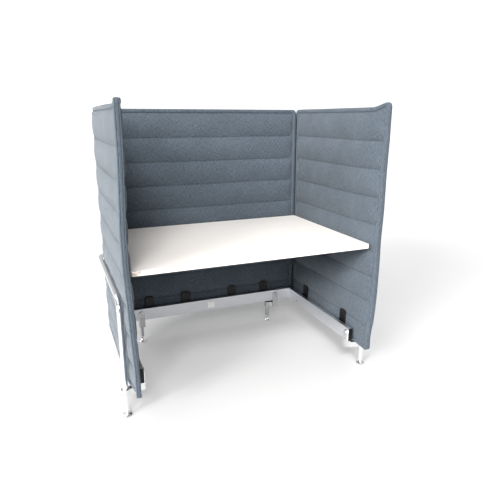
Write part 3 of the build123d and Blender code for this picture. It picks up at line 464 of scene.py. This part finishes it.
class Pad:
    """One quilted panel: a closed grid with a face on each side of its middle plane."""

    def __init__(self, name, length, height, base, seed, snug, reach):
        """Snug gives a face's own profile by an end that meets another panel: end, profile, side.

        Reach gives how far from the seam the channels take to fill out: start, end, top, bottom.
        """
        self.name, self.length, self.height, self.base, self.seed = name, length, height, base, seed
        self.snug = snug
        self.u = lines(length, [], STEP_ALONG)
        self.v = lines(height, [c - base for c in CHANNELS], STEP_UP)
        self.uu, self.vv = np.meshgrid(self.u, self.v, indexing="ij")
        self.rim = np.minimum.reduce([self.uu, length - self.uu, self.vv, height - self.vv])
        self.shape = self.uu.shape
        self.fill = np.minimum.reduce([
            (self.uu - FLANGE) / reach[0], (length - self.uu - FLANGE) / reach[1],
            (self.vv - FLANGE) / reach[2], (height - self.vv - FLANGE) / reach[2]])

    def half(self, side, share):
        """Half thickness over the grid, with the channels filled out to a share of their crest."""
        seams = np.array([FLANGE - UNDER_FLANGE] + [c - self.base for c in CHANNELS]
                         + [self.height - FLANGE + UNDER_FLANGE])
        sag = SEAM_SAG * field(self.uu, self.vv, 5.0, self.seed + 11 * side)
        at = self.vv + sag
        index = np.clip(np.searchsorted(seams, at.ravel()).reshape(self.shape), 1, len(seams) - 1)
        low, high = seams[index - 1], seams[index]
        t = np.clip((at - low) / (high - low), 0, 1) ** CREST_SHIFT
        lobe = 1 - np.abs(1 - 2 * t) ** LOBE_POWER
        width = np.clip((high - low) / CHANNEL_HEIGHT, LEAST_CREST, 1.0)
        ends = 1 - (1 - np.clip(self.fill, 0, 1)) ** END_POWER
        full = 1 + UNEVEN * field(self.uu, self.vv, 9.0, self.seed + 3.1 + 5 * side)
        body = DIP + (CREST - DIP) * share * lobe * width * ends * full
        seam_z = np.array([c - self.base for c in CHANNELS])
        away = np.abs(self.vv[..., None] - seam_z).min(-1)
        stitch = np.exp(-(away / STITCH_WIDTH) ** 2)
        inner = np.clip((self.rim - FLANGE) / STITCH_FADE, 0, 1)
        body -= STITCH_DEPTH * stitch * inner
        body -= (DIP - SEAM_HALF) * np.exp(-(np.maximum(self.rim - FLANGE, 0) / SEAM_BLEND) ** 2)
        places = [r / 1000 for r in RIM]
        rim = np.interp(self.rim, places, [h / 1000 for h in RIM_HALF])
        # painted seam shade: a mask along the stitched seams and the seam inside the flange, by which the
        # fabric's colour darkens
        self.painted_seam_shade = np.clip(stitch * inner * 1.2, 0, 1)
        self.painted_seam_shade = np.maximum(self.painted_seam_shade, np.exp(-((self.rim - FLANGE) / PAINTED_SHADE_WIDTH) ** 2))
        half = np.where(self.rim <= FLANGE + 1e-6, rim, body)
        other = np.minimum(self.vv, self.height - self.vv)
        for at_end, profile, face in self.snug:
            if face != side:
                continue
            d = self.length - self.uu if at_end else self.uu
            near = ease((other - d) / MITRE + 0.5)
            snug = np.interp(d, places, [h / 1000 for h in profile])
            drawn = profile[-1] / 1000
            past = np.maximum(d - FLANGE, 0) / SNUG_BLEND
            beyond = body + (drawn - body) * np.exp(-past ** 2)
            snug = np.where(d <= FLANGE + 1e-6, snug, beyond)
            half = half + (snug - half) * near
        return half

    def flat(self):
        """Grid places with the corners rounded off."""
        a, b = self.uu.copy(), self.vv.copy()
        for cu, su in ((FLANGE, -1), (self.length - FLANGE, 1)):
            for cv, sv in ((FLANGE, -1), (self.height - FLANGE, 1)):
                du, dv = (self.uu - cu) * su, (self.vv - cv) * sv
                corner = (du > 0) & (dv > 0)
                long = np.hypot(du, dv) + 1e-12
                pull = np.where(corner, np.maximum(du, dv) / long, 1.0)
                a = np.where(corner, cu + su * du * pull, a)
                b = np.where(corner, cv + sv * dv * pull, b)
        return a, b

    def build(self, material, share):
        """Faces, edge strip and maps, in the panel's own axes: length, height, thickness."""
        a, b = self.flat()
        seam_wave = wander(self.u, 4.0, self.seed + 2.5, SEAM_WAVE)[:, None]
        hold = ease((self.rim - FLANGE) / WAVE_FADE)
        b = b + seam_wave * hold
        nu, nv = self.shape
        verts, uvs, painted_seam_shades = [], [], []
        index = []
        for side in (1, -1):
            half = self.half(side, share)
            start = len(verts)
            verts += list(np.stack([a, b, side * half], -1).reshape(-1, 3))
            shift = 0 if side > 0 else OTHER_FACE
            uvs += list(np.stack([self.uu + shift, self.vv], -1).reshape(-1, 2))
            painted_seam_shades += list(self.painted_seam_shade.ravel())
            index.append(start + np.arange(nu * nv).reshape(nu, nv))
        faces = []
        for side, grid in zip((1, -1), index):
            for i in range(nu - 1):
                for j in range(nv - 1):
                    quad = (grid[i, j], grid[i + 1, j], grid[i + 1, j + 1], grid[i, j + 1])
                    faces.append(quad if side > 0 else quad[::-1])
        ring = [(i, 0) for i in range(nu)] + [(nu - 1, j) for j in range(1, nv)]
        ring += [(i, nv - 1) for i in range(nu - 2, -1, -1)] + [(0, j) for j in range(nv - 2, 0, -1)]
        corner_u = np.clip(np.array([a[i, j] for i, j in ring]), FLANGE, self.length - FLANGE)
        corner_v = np.clip(np.array([b[i, j] for i, j in ring]), FLANGE, self.height - FLANGE)
        rim_at = np.array([(a[i, j], b[i, j]) for i, j in ring])
        way = rim_at - np.stack([corner_u, corner_v], -1)
        way /= np.linalg.norm(way, axis=1)[:, None] + 1e-12
        travel = np.concatenate([[0], np.cumsum(np.linalg.norm(np.diff(rim_at, axis=0), axis=1))])
        section = EDGE_FACE + [(d, -w) for d, w in EDGE_FACE[-2::-1]]
        rows = [np.array([index[0][i, j] for i, j in ring])]
        for d, w in section:
            start = len(verts)
            inward = rim_at - way * d / 1000
            verts += [(p[0], p[1], w / 1000) for p in inward]
            uvs += [(t, EDGE_STRIP + w / 1000) for t in travel]
            # the edge strip's inner row takes the painted seam shade in full
            painted_seam_shades += [1.0 if d > 2 else 0.0] * len(ring)
            rows.append(np.arange(start, start + len(ring)))
        rows.append(np.array([index[1][i, j] for i, j in ring]))
        count = len(ring)
        for upper, lower in zip(rows, rows[1:]):
            for k in range(count):
                n = (k + 1) % count
                faces.append((upper[k], lower[k], lower[n], upper[n]))
        self.verts = np.array(verts)
        self.index = index
        self.painted_seam_shades = np.array(painted_seam_shades)
        self.uvs = np.array(uvs)
        mesh = bpy.data.meshes.new(self.name)
        mesh.from_pydata(self.verts.tolist(), [], faces)
        mesh.update()
        self.obj = bpy.data.objects.new(self.name, mesh)
        scene.collection.objects.link(self.obj)
        mesh.materials.append(material)

    def inflate(self):
        """Cloth pressure blows the channels out between their seams, and foam caps how far."""
        group = self.obj.vertex_groups.new(name="sewn")
        away = np.abs(self.vv[..., None] - np.array([c - self.base for c in CHANNELS])).min(-1)
        held = (self.rim <= FLANGE + 1e-6) | (away < 1e-6)
        fixed = [int(g) for grid in self.index for g in grid[held]]
        strip = list(range(self.index[1].max() + 1, len(self.verts)))
        group.add(fixed + strip, 1.0, "REPLACE")
        cloth = self.obj.modifiers.new("cloth", "CLOTH")
        cloth.settings.quality = 4
        cloth.settings.mass = 0.25
        cloth.settings.tension_stiffness = 18
        cloth.settings.compression_stiffness = 14
        cloth.settings.shear_stiffness = 6
        cloth.settings.bending_stiffness = 2.5
        cloth.settings.shrink_min = -0.006
        cloth.settings.use_pressure = True
        cloth.settings.uniform_pressure_force = 4.0
        cloth.settings.effector_weights.gravity = 0
        cloth.settings.vertex_group_mass = "sewn"
        cloth.collision_settings.use_collision = False
        cloth.point_cache.frame_start, cloth.point_cache.frame_end = 1, BLOW_FRAMES
        for number in range(1, BLOW_FRAMES + 1):
            scene.frame_set(number)
        shaped = self.obj.evaluated_get(bpy.context.evaluated_depsgraph_get())
        flat = np.empty(len(self.verts) * 3, np.float32)
        shaped.data.vertices.foreach_get("co", flat)
        self.obj.modifiers.remove(cloth)
        scene.frame_set(1)
        blown = flat.reshape(-1, 3).astype(float)
        move = blown - self.verts
        move[:, :2] = np.clip(move[:, :2], -SLIDE, SLIDE)
        side = np.sign(self.verts[:, 2])
        room = np.where(side == 0, 0, (CREST + OVER_CREST) - np.abs(self.verts[:, 2]))
        rise = move[:, 2] * side
        room = np.maximum(room, 1e-4)
        capped = room * np.tanh(rise / room)
        move[:, 2] = side * np.where(rise > 0, capped, np.maximum(rise, -SINK))
        move[fixed] = 0
        move[strip] = 0
        for grid in self.index:
            calm = move[grid]
            for _ in range(CALM_PASSES):
                calm[1:-1] = (calm[:-2] + 2 * calm[1:-1] + calm[2:]) / 4
            calm[held] = 0
            move[grid] = calm
        self.verts = self.verts + move

    def press(self, limits):
        """Neighbours press the padding in: limits gives the most half thickness for each side."""
        for side, grid in zip((1, -1), self.index):
            at = self.verts[grid.ravel()]
            most = limits(at[:, 0], at[:, 1], side)
            w = at[:, 2] * side
            soft = 0.0022
            kept = most - soft * np.log1p(np.exp(np.clip((most - w) / soft, -40, 40)))
            kept = np.where(most - w > 8 * soft, w, np.minimum(w, kept))
            self.verts[grid.ravel(), 2] = side * kept

    def finish(self, to_frame, bend=None, mirrored=False):
        """Moves the pad to its place and gives it its maps."""
        self.hand = -1 if mirrored else 1
        local = self.verts.copy()
        if bend is not None:
            local = bend(local)
        self.placed = to_frame(local)
        mesh = self.obj.data
        mesh.vertices.foreach_set("co", self.placed.astype(np.float32).ravel())
        uv = mesh.uv_layers.new(name="weave")
        loops = np.empty(len(mesh.loops), np.int32)
        mesh.loops.foreach_get("vertex_index", loops)
        uv.data.foreach_set("uv", self.uvs[loops].astype(np.float32).ravel())
        # the mask of painted seam shade, which the fabric's colour reads
        painted_seam_shade = mesh.attributes.new("painted_seam_shade", "FLOAT", "POINT")
        painted_seam_shade.data.foreach_set("value", self.painted_seam_shades.astype(np.float32))
        mesh.polygons.foreach_set("use_smooth", [True] * len(mesh.polygons))
        if mirrored:
            mesh.flip_normals()
        mesh.update()
        smooth = self.obj.modifiers.new("smooth", "SUBSURF")
        smooth.levels = smooth.render_levels = 1
        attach(self.obj, "carrel")
        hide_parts(self.name.replace("_quilt", ""))

    def rim_track(self, inset, side):
        """Points with outward directions along the flange, on one face, inset from the outline."""
        nu, nv = self.shape
        i = int(np.argmin(np.abs(self.u - inset)))
        j = int(np.argmin(np.abs(self.v - inset)))
        far_i = int(np.argmin(np.abs(self.u - (self.length - inset))))
        far_j = int(np.argmin(np.abs(self.v - (self.height - inset))))
        walk = [(k, j) for k in range(i, far_i)] + [(far_i, k) for k in range(j, far_j)]
        walk += [(k, far_j) for k in range(far_i, i, -1)] + [(i, k) for k in range(far_j, j, -1)]
        grid = self.index[0 if side > 0 else 1]
        points = [Vector(self.placed[grid[p]]) for p in walk]
        facing = []
        for a, b in walk:
            du = self.placed[grid[min(a + 1, nu - 1), b]] - self.placed[grid[max(a - 1, 0), b]]
            dv = self.placed[grid[a, min(b + 1, nv - 1)]] - self.placed[grid[a, max(b - 1, 0)]]
            n = np.cross(du, dv) * side * self.hand
            facing.append(Vector(n / (np.linalg.norm(n) + 1e-12)))
        return points, facing


# across one stitch: where each ring lies along it, its width and its height over the cloth
STITCH_RINGS = ((-0.5, 0.3, -0.3), (-0.22, 1.0, 0.35), (0.22, 1.0, 0.35), (0.5, 0.3, -0.3))


def stitches(name, tracks, pitch=0.0062, long=0.0043, thick=0.00055, sides=5):
    """Rows of small thread stitches along tracks of points."""
    verts, faces = [], []
    for points, facing in tracks:
        travelled, due = 0.0, 0.0
        count = len(points)
        for k in range(count):
            a, b = points[k], points[(k + 1) % count]
            run = (b - a).length
            if run < 1e-7:
                continue
            along = (b - a) / run
            while due < travelled + run:
                t = (due - travelled) / run
                at = a.lerp(b, t)
                up = facing[k].lerp(facing[(k + 1) % count], t).normalized()
                across = along.cross(up).normalized()
                base = len(verts)
                for offset, size, lift in STITCH_RINGS:
                    centre = at + along * offset * long + up * thick * lift
                    for turn in range(sides):
                        angle = turn * 2 * math.pi / sides
                        verts.append(centre + (across * math.cos(angle) + up * math.sin(angle))
                                     * thick * size)
                faces += tube_faces(base, sides, len(STITCH_RINGS))
                due += pitch
            travelled += run
    piece(name, verts, faces, thread, "carrel", "fabric")


# the bow tube: its radius, the bend in it, and the heights of its rail and of the bend's lower end
BOW_RADIUS, BOW_BEND, RAIL_Z, BEND_Z = 0.0125, 0.065, 0.575, 0.51
# the most half thickness away from all neighbours, and by the bow, desktop, and angles or clips
FREE, BY_BOW, BY_DESKTOP, BY_METAL = 0.030, 0.0171, 0.0186, 0.0160


# how far from a tube's middle or a part's edge it presses fully, and by how much and over what length the
# limit opens up again past that
DENTS = {"bow": (0.011, 0.007, 0.080), "rail": (0.009, 0.008, 0.030),
         "desktop": (0.003, 0.008, 0.022), "angle": (0.002, 0.010, 0.030),
         "clip": (0.001, 0.010, 0.020)}


def dent(distance, neighbour):
    """How far a limit opens up again away from a neighbour."""
    pressed, depth, reach = DENTS[neighbour]
    return depth * ease((distance - pressed) / reach)


def outside(value, low, high):
    return np.maximum(np.maximum(low - value, value - high), 0)


def side_limits(side_name, front, base, lean):
    """What presses on a side panel: bow outside, desktop, angle and clips inside.

    Lean says how far each point of the pad will move outwards after the pressing.
    """
    bow_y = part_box(f"{side_name}_bow_tube")[0].y + BOW_RADIUS
    angle_lo, angle_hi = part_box(f"{side_name}_table_bracket")
    top_lo, top_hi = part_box("tabletop_edging")
    clips = [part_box(f"{side_name}_{k}_clip") for k in ("front", "rear")]

    def limits(u, v, side):
        y, z = u + front, v + base
        free = np.full(u.shape, FREE)
        if side > 0:
            leg = np.where(z < BEND_Z, np.abs(y - bow_y), 1.0)
            rail = np.where(y > bow_y + BOW_BEND, np.abs(z - RAIL_Z), 1.0)
            bend = np.where((z >= BEND_Z) & (y <= bow_y + BOW_BEND),
                            np.abs(np.hypot(y - bow_y - BOW_BEND, z - BEND_Z) - BOW_BEND), 1.0)
            near = np.minimum(np.minimum(leg, rail), bend)
            return np.minimum(free, BY_BOW - lean(u, v) + dent(near, "bow"))
        slab = np.hypot(outside(z, top_lo.z, top_hi.z), outside(y, top_lo.y, top_hi.y))
        most = np.minimum(free, BY_DESKTOP + dent(slab, "desktop"))
        angle = np.hypot(outside(z, angle_lo.z, angle_hi.z), outside(y, angle_lo.y, angle_hi.y))
        most = np.minimum(most, BY_METAL + dent(angle, "angle"))
        for lo, hi in clips:
            gap = np.hypot(outside(z, lo.z, hi.z), outside(y, lo.y, hi.y))
            most = np.minimum(most, BY_METAL + dent(gap, "clip"))
        return np.minimum(most + lean(u, v), free)

    return limits


def back_limits(start, base):
    """What presses on the back panel: the bow's rail outside and the clips inside."""
    clips = [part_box(f"back_clip_{k}") for k in (1, 2, 3, 4)]

    def limits(u, v, side):
        x, z = u + start, v + base
        free = np.full(u.shape, FREE)
        if side > 0:
            return np.minimum(free, BY_BOW + dent(np.abs(z - RAIL_Z), "rail"))
        most = free
        for lo, hi in clips:
            gap = np.hypot(outside(z, lo.z, hi.z), outside(x, lo.x, hi.x))
            most = np.minimum(most, BY_METAL + dent(gap, "clip"))
        return most

    return limits


CORE_INSET, CORE_HALF, CORE_ALONG, CORE_UP = 0.030, 0.0045, 24, 30


def core_board_for(pad, node, to_frame, bend):
    """The stiff board inside a pad, following the pad's own bend."""
    us = np.linspace(CORE_INSET, pad.length - CORE_INSET, CORE_ALONG)
    vs = np.linspace(CORE_INSET, pad.height - CORE_INSET, CORE_UP)
    uu, vv = np.meshgrid(us, vs, indexing="ij")
    verts = []
    for w in (CORE_HALF, -CORE_HALF):
        verts.append(np.stack([uu, vv, np.full(uu.shape, w)], -1).reshape(-1, 3))
    placed = to_frame(bend(np.concatenate(verts)))
    grid = np.arange(uu.size).reshape(uu.shape)
    faces = []
    for i in range(len(us) - 1):
        for j in range(len(vs) - 1):
            quad = (grid[i, j], grid[i + 1, j], grid[i + 1, j + 1], grid[i, j + 1])
            faces += [quad, tuple(k + uu.size for k in quad[::-1])]
    ring = list(grid[:, 0]) + list(grid[-1, 1:]) + list(grid[-2::-1, -1]) + list(grid[0, -2:0:-1])
    for a, b in zip(ring, ring[1:] + ring[:1]):
        faces.append((a, a + uu.size, b + uu.size, b))
    board = piece(f"{node}_bent", placed, faces, core_board, "carrel", "core_board", [node], False)
    if pad.hand < 0:
        board.data.flip_normals()


EAR = 0.018              # how far the CAD panel's front top corner stands above the rest
LEAN_REACH = 0.215       # how far back from the front edge the lean dies out
DRAWN_IN = 0.007
# how far from the seam the channels take to fill out: at a side panel's front and rear, at the
# back panel's ends, and at the top and bottom of all three
FRONT_REACH, REAR_REACH, BACK_REACH, RIM_REACH = 0.045, 0.018, 0.026, 0.055


def make_side(side, sign, seed, lean, ear, lift, curl):
    """A side panel. Ear and lift raise its front top corner and its top, curl turns the welt."""
    lo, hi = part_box(f"{side}_panel")
    front, rear, base = lo.y, hi.y, lo.z
    top = hi.z - EAR
    middle = (lo.x + hi.x) / 2
    pad = Pad(f"{side}_panel_quilt", rear - front, top - base, base, seed,
              [(True, FULL_RIM, -1), (True, TUCK_RIM, 1)], (FRONT_REACH, REAR_REACH, RIM_REACH))
    pad.build(fabric, SHARE)
    pad.inflate()

    def leaned(u, v):
        return np.interp(v + base, *zip(*lean)) * ease((LEAN_REACH - u) / LEAN_REACH)

    pad.press(side_limits(side, front, base, leaned))

    def bend(p):
        q = p.copy()
        z = p[:, 1] + base
        # the front top corner rises, and the whole top a little
        rise = ease((0.135 - p[:, 0]) / 0.120) ** 1.5 * ease((z - (top - 0.16)) / 0.135)
        q[:, 1] += ear * rise + lift * ease((z - (top - 0.20)) / 0.18)
        q[:, 2] += leaned(p[:, 0], p[:, 1])
        # the rear end of the top is drawn inwards, towards the zip
        drawn = ease((p[:, 0] - (rear - front - 0.30)) / 0.30) * ease((z - (top - 0.07)) / 0.06)
        q[:, 2] -= DRAWN_IN * drawn
        # the front welt turns outwards and the padding behind it inwards
        welt = ease((0.034 - p[:, 0]) / 0.024)
        behind = ease((p[:, 0] - 0.020) / 0.022) * ease((0.26 - p[:, 0]) / 0.18)
        q[:, 2] += curl * (welt - 0.75 * behind)
        return q

    def to_frame(p):
        return np.stack([middle + sign * p[:, 2], p[:, 0] + front, p[:, 1] + base], -1)

    pad.finish(to_frame, bend, mirrored=sign < 0)
    core_board_for(pad, f"{side}_panel_core", to_frame, bend)
    return pad


def make_back(seed):
    """The back panel, whose ends meet the side panels."""
    lo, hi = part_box("back_panel")
    middle = (lo.y + hi.y) / 2
    pad = Pad("back_panel_quilt", hi.x - lo.x, hi.z - lo.z, lo.z, seed,
              [(end, rim, face) for end in (False, True)
               for rim, face in ((WELT_RIM, -1), (TUCK_RIM, 1))],
              (BACK_REACH, BACK_REACH, RIM_REACH))
    pad.build(fabric, SHARE)
    pad.inflate()
    pad.press(back_limits(lo.x, lo.z))

    def to_frame(p):
        return np.stack([p[:, 0] + lo.x, middle + p[:, 2], p[:, 1] + lo.z], -1)

    pad.finish(to_frame, mirrored=True)
    return pad


# how far the front edge of each side panel stands outwards of its plane, from the bottom up
RIGHT_LEAN = [(0.145, -0.016), (0.22, -0.017), (0.26, -0.013), (0.31, -0.004), (0.38, 0.002),
              (0.48, 0.006), (0.62, 0.008), (0.76, 0.006), (0.92, 0.014), (1.10, 0.012),
              (1.25, 0.018), (1.42, 0.018)]
LEFT_LEAN = [(0.145, -0.021), (0.30, -0.018), (0.45, -0.011), (0.60, -0.006), (0.75, 0.001),
             (0.90, 0.002), (1.05, -0.003), (1.20, -0.008), (1.42, -0.010)]
pads = [
    make_side("left", -1, 4.2, LEFT_LEAN, 0.021, 0.005, 0.0045),
    make_side("right", 1, 17.6, RIGHT_LEAN, 0.021, 0.001, 0.0),
    make_back(31.4),
]
STITCH_INSET = 0.0170
for pad in pads:
    tracks = [pad.rim_track(STITCH_INSET, side) for side in (1, -1)]
    stitches(pad.name.replace("_quilt", "_stitching"), tracks)


# ---- corner zips ------------------------------------------------------------------------------
TAPE_SPOTS = [-0.019, -0.016, -0.012, -0.008, 0, 0.008, 0.012, 0.016, 0.019]
TAPE_FLAT, TAPE_HALF, TAPE_LENGTHS = 0.008, 0.0006, 49
CURL_OVER, CURL = 0.011, 0.0042
TEETH_FROM, TEETH_SHORT, TOOTH_PITCH, TOOTH_SHIFT = 0.6005, 0.001, 0.0026, 0.0011
TOOTH_ROOT = 0.0004
TOOTH_LEVELS = ((-0.00085, 0.82), (-0.0005, 1.0), (0.0005, 1.0), (0.00085, 0.82))
TOOTH_OUTLINE = ((-0.0018, TOOTH_ROOT), (0.0018, TOOTH_ROOT), (0.0018, 0.0030), (0.0011, 0.0037),
                 (-0.0011, 0.0037), (-0.0018, 0.0030))


def tape_bow(a):
    """How far the tape curls inwards at a place across it."""
    past = max(abs(a) - TAPE_FLAT, 0) / CURL_OVER
    return -CURL * past ** 1.5


def corner_zip(side, sign):
    """A bowed tape whose edges tuck under the pads, with two rows of teeth."""
    lo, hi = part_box(f"{side}_corner_zip")
    middle = Vector((sign * (min(abs(lo.x), abs(hi.x)) + max(abs(lo.x), abs(hi.x))) / 2,
                     (lo.y + hi.y) / 2, 0))
    out = Vector((sign, 1, 0)).normalized()
    across = Vector((1, -sign, 0)).normalized()

    ring = [(a, tape_bow(a) + TAPE_HALF) for a in TAPE_SPOTS]
    ring += [(a, tape_bow(a) - TAPE_HALF) for a in TAPE_SPOTS[::-1]]
    heights = np.arange(lo.z, hi.z + 1e-6, (hi.z - lo.z) / TAPE_LENGTHS)
    verts = [middle + across * a + out * o + Vector((0, 0, z)) for z in heights for a, o in ring]
    tape = piece(f"{side}_zip_tape", verts, tube_faces(0, len(ring), len(heights)), zip_tape,
                 "carrel", "zip_tape", [f"{side}_corner_zip"], False)
    bm = bmesh.new()
    bm.from_mesh(tape.data)
    bmesh.ops.recalc_face_normals(bm, faces=bm.faces)
    bm.to_mesh(tape.data)
    bm.free()

    verts, faces = [], []
    z, row = TEETH_FROM, 0
    while z < hi.z - TEETH_SHORT:
        shift = TOOTH_SHIFT if row % 2 else -TOOTH_SHIFT
        faces += tube_faces(len(verts), len(TOOTH_OUTLINE), len(TOOTH_LEVELS))
        for dz, grow in TOOTH_LEVELS:
            for a, o in TOOTH_OUTLINE:
                rise = TOOTH_ROOT + (o - TOOTH_ROOT) * grow
                verts.append(middle + across * (shift + a * grow) + out * rise
                             + Vector((0, 0, z + dz)))
        z += TOOTH_PITCH
        row += 1
    piece(f"{side}_zip_teeth", verts, faces, dark_metal, "carrel", "zip_metal",
          [f"{side}_corner_zip"], False)


for zip_side, zip_sign in (("left", -1), ("right", 1)):
    corner_zip(zip_side, zip_sign)


# ---- screws with sockets ------------------------------------------------------------------------
def islands(obj):
    """The separate bodies in a node, as arrays of points."""
    bm = bmesh.new()
    bm.from_mesh(obj.data)
    bmesh.ops.remove_doubles(bm, verts=bm.verts, dist=1e-6)
    bm.verts.ensure_lookup_table()
    seen, found = set(), []
    for start in bm.verts:
        if start.index in seen:
            continue
        stack, group = [start], []
        seen.add(start.index)
        while stack:
            vert = stack.pop()
            group.append(tuple(obj.matrix_world @ vert.co))
            for edge in vert.link_edges:
                other = edge.other_vert(vert)
                if other.index not in seen:
                    seen.add(other.index)
                    stack.append(other)
        found.append(np.array(group))
    bm.free()
    return found


SCREW_SIDES = 24
DOME = 0.55              # the part of a head's height that is rounded
SOCKET, SOCKET_FLOOR = 0.42, 0.45        # shares of the head's radius and height
TIP, TIP_RISE = 0.6, 0.3                 # of the shank's radius: the tip's, and how far it tapers
SQUAT = 1.05             # longer than this times its width, a screw's axis is its longest side
# the rounded part: share of the radius, and how far below the top as a share of its height
DOME_RINGS = ((0.94, 0.42), (0.80, 0.12), (0.62, 0.0))


def socket_screws(node, slot, material):
    """Replaces plain headed pins with screws that have a rounded head and a hexagon socket."""
    verts, faces = [], []
    for points in islands(nodes[node]):
        low, high = points.min(0), points.max(0)
        axis = int(np.argmax(high - low))
        if node == "set_screws" or (high - low)[axis] < SQUAT * np.sort(high - low)[1]:
            spread = sorted((abs((high - low)[(k + 1) % 3] - (high - low)[(k + 2) % 3]), k)
                            for k in range(3))
            axis = spread[0][1]
        centre = (low + high) / 2
        others = [k for k in range(3) if k != axis]
        radial = np.hypot(*(points[:, k] - centre[k] for k in others))
        reach = radial.max()
        wide = points[radial > 0.9 * reach, axis]
        head_low, head_high = wide.min(), wide.max()
        tail_below = head_low - low[axis] > high[axis] - head_high
        way = 1.0 if tail_below else -1.0
        root, top = (head_low, high[axis]) if tail_below else (head_high, low[axis])
        tail = low[axis] if tail_below else high[axis]
        height, long = abs(top - root), abs(root - tail)
        beyond = radial[np.abs(points[:, axis] - tail) < 1e-4]
        shank = beyond.max() if long > 1e-4 and len(beyond) else 0.0
        rings = []
        if shank:
            rings += [(TIP * shank, -long), (shank, -long + TIP_RISE * shank), (shank, 0.0)]
        soft = DOME * height
        rings += [(reach, 0.0), (reach, height - soft)]
        rings += [(share * reach, height - below * soft) for share, below in DOME_RINGS]
        base = len(verts)
        grid = []
        angles = [2 * math.pi * k / SCREW_SIDES for k in range(SCREW_SIDES)]
        for radius, along in rings:
            grid.append([(radius * math.cos(angle), radius * math.sin(angle), along)
                         for angle in angles])
        for level in (height, height * SOCKET_FLOOR):
            loop = []
            for angle in angles:
                inner = SOCKET * reach * math.cos(math.pi / 6)
                inner /= math.cos((angle % (math.pi / 3)) - math.pi / 6)
                loop.append((inner * math.cos(angle), inner * math.sin(angle), level))
            grid.append(loop)
        first = np.zeros(3)
        first[others[0]] = 1
        normal = np.zeros(3)
        normal[axis] = way
        second = np.cross(normal, first)
        origin = centre.copy()
        origin[axis] = root
        for loop in grid:
            verts += [tuple(origin + a * first + b * second + c * normal) for a, b, c in loop]
        faces += tube_faces(base, SCREW_SIDES, len(grid))
    made = piece(f"{node}_socketed", verts, faces, material, "carrel", slot, [node])
    made.data.set_sharp_from_angle(angle=math.radians(35))


for node in ("bracket_screws", "clip_screws", "panel_bolts", "table_screws", "set_screws"):
    socket_screws(node, slot_of[node], black_screw if node == "clip_screws" else zinc)


# ---- floor ------------------------------------------------------------------------------------
bpy.ops.mesh.primitive_plane_add(size=60, location=(0, 0, 0))
floor = bpy.context.object
floor.name = "floor"
dress(floor, floor_material())
